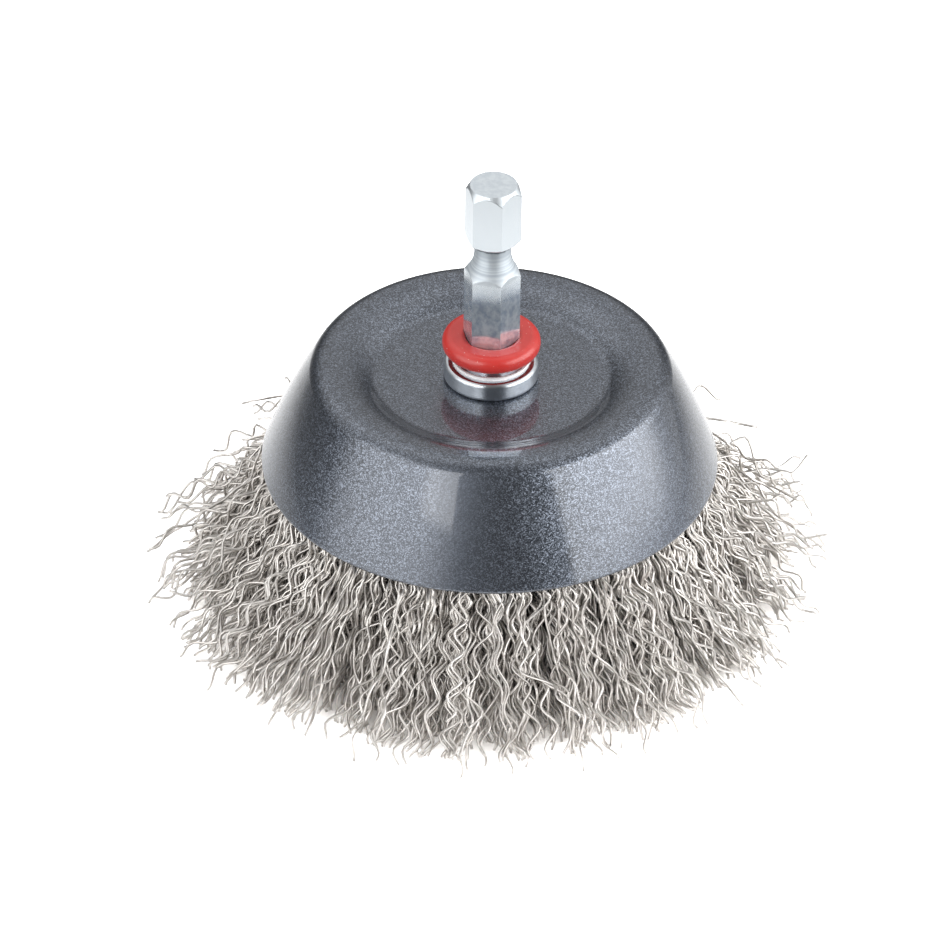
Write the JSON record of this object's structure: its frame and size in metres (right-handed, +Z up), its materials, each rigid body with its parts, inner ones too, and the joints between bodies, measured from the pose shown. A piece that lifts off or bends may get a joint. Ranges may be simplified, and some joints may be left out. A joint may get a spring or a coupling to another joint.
{
  "type": "wire cup brush",
  "caption": "Crimped stainless wire cup brush on a quarter-inch hex shank: flared wire locks doubled over a hoop in a pressed steel cup, for rust and paint removal with a drill.",
  "frame": {"origin": "on the shank's axis, in the plane of the wire tips that the brush stands on", "axes": "+Z up the shank, away from the wires; +X through a corner of the hexagon"},
  "size_m": [0.0898, 0.0898, 0.0601],
  "materials": {
    "zinc_steel": "zinc plated, satin",
    "turned_steel": "turned and bright zinc plated",
    "red_rubber": "satin",
    "cup_lacquer": "metallic anthracite lacquer, glossy",
    "pressed_steel": "zinc plated sheet",
    "stainless_wire": "crimped stainless wire"
  },
  "bodies": {
    "root": {"hex_shank": "zinc_steel", "collar": "turned_steel", "colour_ring": "red_rubber", "cup": "cup_lacquer", "wire_retainer": "pressed_steel", "rivet_washer": "pressed_steel", "wire_hoop": "stainless_wire", "wire_bunch_01": "stainless_wire", "wire_bunch_02": "stainless_wire", "wire_bunch_03": "stainless_wire", "wire_bunch_04": "stainless_wire", "wire_bunch_05": "stainless_wire", "wire_bunch_06": "stainless_wire", "wire_bunch_07": "stainless_wire", "wire_bunch_08": "stainless_wire", "wire_bunch_09": "stainless_wire", "wire_bunch_10": "stainless_wire", "wire_bunch_11": "stainless_wire", "wire_bunch_12": "stainless_wire", "wire_bunch_13": "stainless_wire", "wire_bunch_14": "stainless_wire", "wire_bunch_15": "stainless_wire", "wire_bunch_16": "stainless_wire", "wire_bunch_17": "stainless_wire", "wire_bunch_18": "stainless_wire", "wire_bunch_19": "stainless_wire", "wire_bunch_20": "stainless_wire", "wire_bunch_21": "stainless_wire", "wire_bunch_22": "stainless_wire", "wire_bunch_23": "stainless_wire", "wire_bunch_24": "stainless_wire"}
  },
  "joints": []
}
